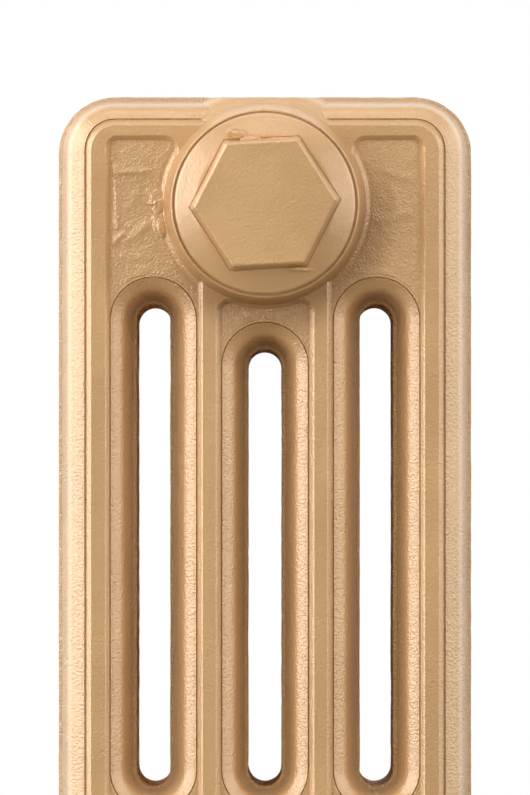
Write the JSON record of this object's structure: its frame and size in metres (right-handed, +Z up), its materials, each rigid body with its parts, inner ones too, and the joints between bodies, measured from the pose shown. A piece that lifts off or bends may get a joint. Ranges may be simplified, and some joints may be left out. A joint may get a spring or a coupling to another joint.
{
  "type": "cast iron radiator",
  "caption": "Floor-standing column radiator of hollow cast iron sections joined by threaded nipples, with end plugs, reducing bushes for valves and a key-operated air vent.",
  "frame": {"origin": "centre of the footprint of the whole object on the floor", "axes": "+Y along the row of sections, away from the end with the blanking plug; +X across the depth; +Z up"},
  "size_m": [0.142, 0.2804, 0.36],
  "materials": {
    "section_paint": "satin gold metallic paint on rough castings",
    "plug_paint": "satin gold metallic paint on machined iron",
    "bare_iron": "bare, threaded",
    "fibre_gasket": "matt graphite fibre",
    "vent_brass": "turned",
    "screw_brass": "turned",
    "seal_rubber": "matt"
  },
  "bodies": {
    "radiator": {"end_section_near": "section_paint", "middle_section_1": "section_paint", "middle_section_2": "section_paint", "end_section_far": "section_paint", "nipple_top_1": "bare_iron", "section_gasket_top_1": "fibre_gasket", "nipple_top_2": "bare_iron", "section_gasket_top_2": "fibre_gasket", "nipple_top_3": "bare_iron", "section_gasket_top_3": "fibre_gasket", "nipple_bottom_1": "bare_iron", "section_gasket_bottom_1": "fibre_gasket", "nipple_bottom_2": "bare_iron", "section_gasket_bottom_2": "fibre_gasket", "nipple_bottom_3": "bare_iron", "section_gasket_bottom_3": "fibre_gasket", "blanking_plug": "plug_paint", "blanking_plug_gasket": "fibre_gasket", "air_vent_plug": "plug_paint", "air_vent_plug_gasket": "fibre_gasket", "bush_near": "plug_paint", "bush_near_gasket": "fibre_gasket", "bush_far": "plug_paint", "bush_far_gasket": "fibre_gasket", "air_vent_body": "vent_brass"},
    "vent_seal": {"bleed_seal": "seal_rubber"},
    "vent_screw": {"bleed_screw": "screw_brass"}
  },
  "joints": [
    {"name": "bleed_slide", "type": "slide", "parent": "radiator", "child": "vent_seal", "axis": [0, 1, 0], "range_m": [0, 0.0012]},
    {"name": "bleed_turn", "type": "hinge", "parent": "vent_seal", "child": "vent_screw", "pos_m": [0, 0.13395, 0.323], "axis": [0, 1, 0], "range_deg": [0, 540]}
  ],
  "couplings": [
    {"joint": "bleed_turn", "follows": "bleed_slide", "rad_per_m": 7854}
  ]
}
